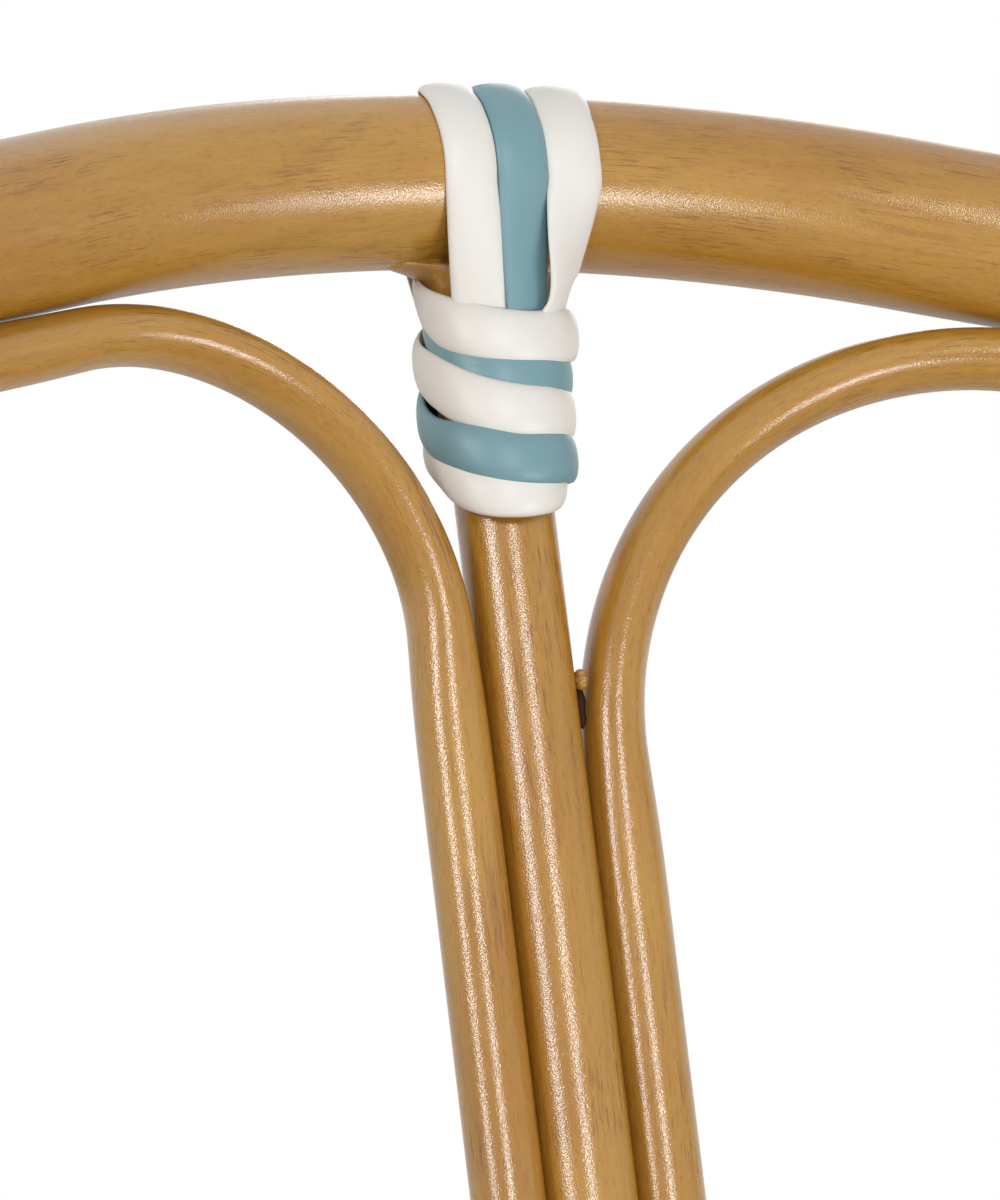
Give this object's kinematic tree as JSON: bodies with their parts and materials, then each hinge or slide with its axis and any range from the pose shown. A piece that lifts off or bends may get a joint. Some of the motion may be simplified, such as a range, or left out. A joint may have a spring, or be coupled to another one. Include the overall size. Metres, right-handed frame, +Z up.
{
  "type": "bistro chair",
  "caption": "Side chair of bent rattan-look tube with an arched back, looped back bars, woven seat and strip-bound joints.",
  "frame": {"origin": "middle of the chair's box, on the floor", "axes": "+Z up, -Y to the front of the seat, +X to the right seen from the front"},
  "size_m": [0.431, 0.5626, 0.8828],
  "materials": {
    "frame": "wood-grain printed powder coat, satin, fine orange peel",
    "weld": "painted weld bead",
    "strip_white": "smooth moulded strip, soft sheen",
    "strip_blue": "smooth moulded strip, soft sheen",
    "seat_weave": "woven plastic strip",
    "foot_cap": "moulded, matte"
  },
  "bodies": {
    "root": {"back_hoop": "frame", "back_cross_rail": "frame", "back_upright": "frame", "back_loop_left": "frame", "back_loop_right": "frame", "seat_ring": "frame", "seat_bar_front": "frame", "seat_bar_rear": "frame", "front_leg_left": "frame", "front_leg_right": "frame", "brace_front": "frame", "brace_left": "frame", "brace_right": "frame", "brace_rear": "frame", "upright_weld": "weld", "rail_strap_left": "strip_white", "rail_strap_right": "strip_white", "top_coil_white": "strip_white", "back_binding_white": "strip_white", "leg_binding_front_left_white": "strip_white", "leg_binding_front_right_white": "strip_white", "leg_binding_rear_left_white": "strip_white", "leg_binding_rear_right_white": "strip_white", "rail_strap_centre": "strip_blue", "top_coil_blue": "strip_blue", "back_binding_blue": "strip_blue", "leg_binding_front_left_blue": "strip_blue", "leg_binding_front_right_blue": "strip_blue", "leg_binding_rear_left_blue": "strip_blue", "leg_binding_rear_right_blue": "strip_blue", "seat_weave": "seat_weave", "foot_cap_front_left": "foot_cap", "foot_cap_front_right": "foot_cap", "foot_cap_rear_left": "foot_cap", "foot_cap_rear_right": "foot_cap"}
  },
  "joints": []
}
